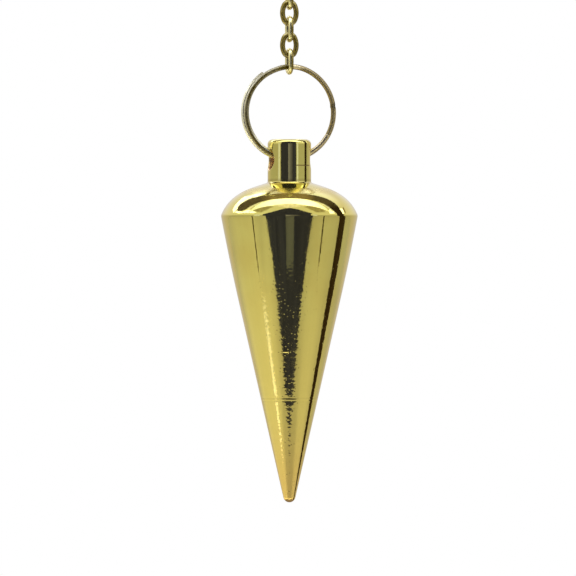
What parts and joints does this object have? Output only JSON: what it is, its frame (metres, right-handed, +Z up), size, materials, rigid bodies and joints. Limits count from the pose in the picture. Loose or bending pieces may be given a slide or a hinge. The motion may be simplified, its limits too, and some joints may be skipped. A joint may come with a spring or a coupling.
{
  "type": "pendulum pendant",
  "caption": "Turned brass plumb-shaped drop that swings from a split ring on a short stretch of oval-link chain, held by its top link.",
  "frame": {"origin": "seat inside the top link's upper bend, where a finger, hook or thread carries the pendant", "axes": "+Z up along the chain and away from the drop's point, X along the neck's cross bore in the plane of the split ring, -Y towards the front"},
  "size_m": [0.016, 0.016, 0.0606],
  "materials": {
    "drop_brass": "polished turned brass",
    "ring_brass": "bright drawn wire, a little worn",
    "chain_brass": "bright plated wire"
  },
  "bodies": {
    "chain": {"link_1": "chain_brass", "link_2": "chain_brass", "link_3": "chain_brass", "link_4": "chain_brass", "link_5": "chain_brass"},
    "ring": {"split_ring": "ring_brass"},
    "drop": {"drop": "drop_brass"}
  },
  "joints": [
    {"name": "ring_lean", "type": "hinge", "parent": "chain", "child": "ring", "pos_m": [0, 0, -0.00979], "axis": [0, 1, 0], "range_deg": [-45, 45]},
    {"name": "drop_swing", "type": "hinge", "parent": "ring", "child": "drop", "pos_m": [0, 0, -0.02004], "axis": [1, 0, 0], "range_deg": [-115, 115]}
  ]
}
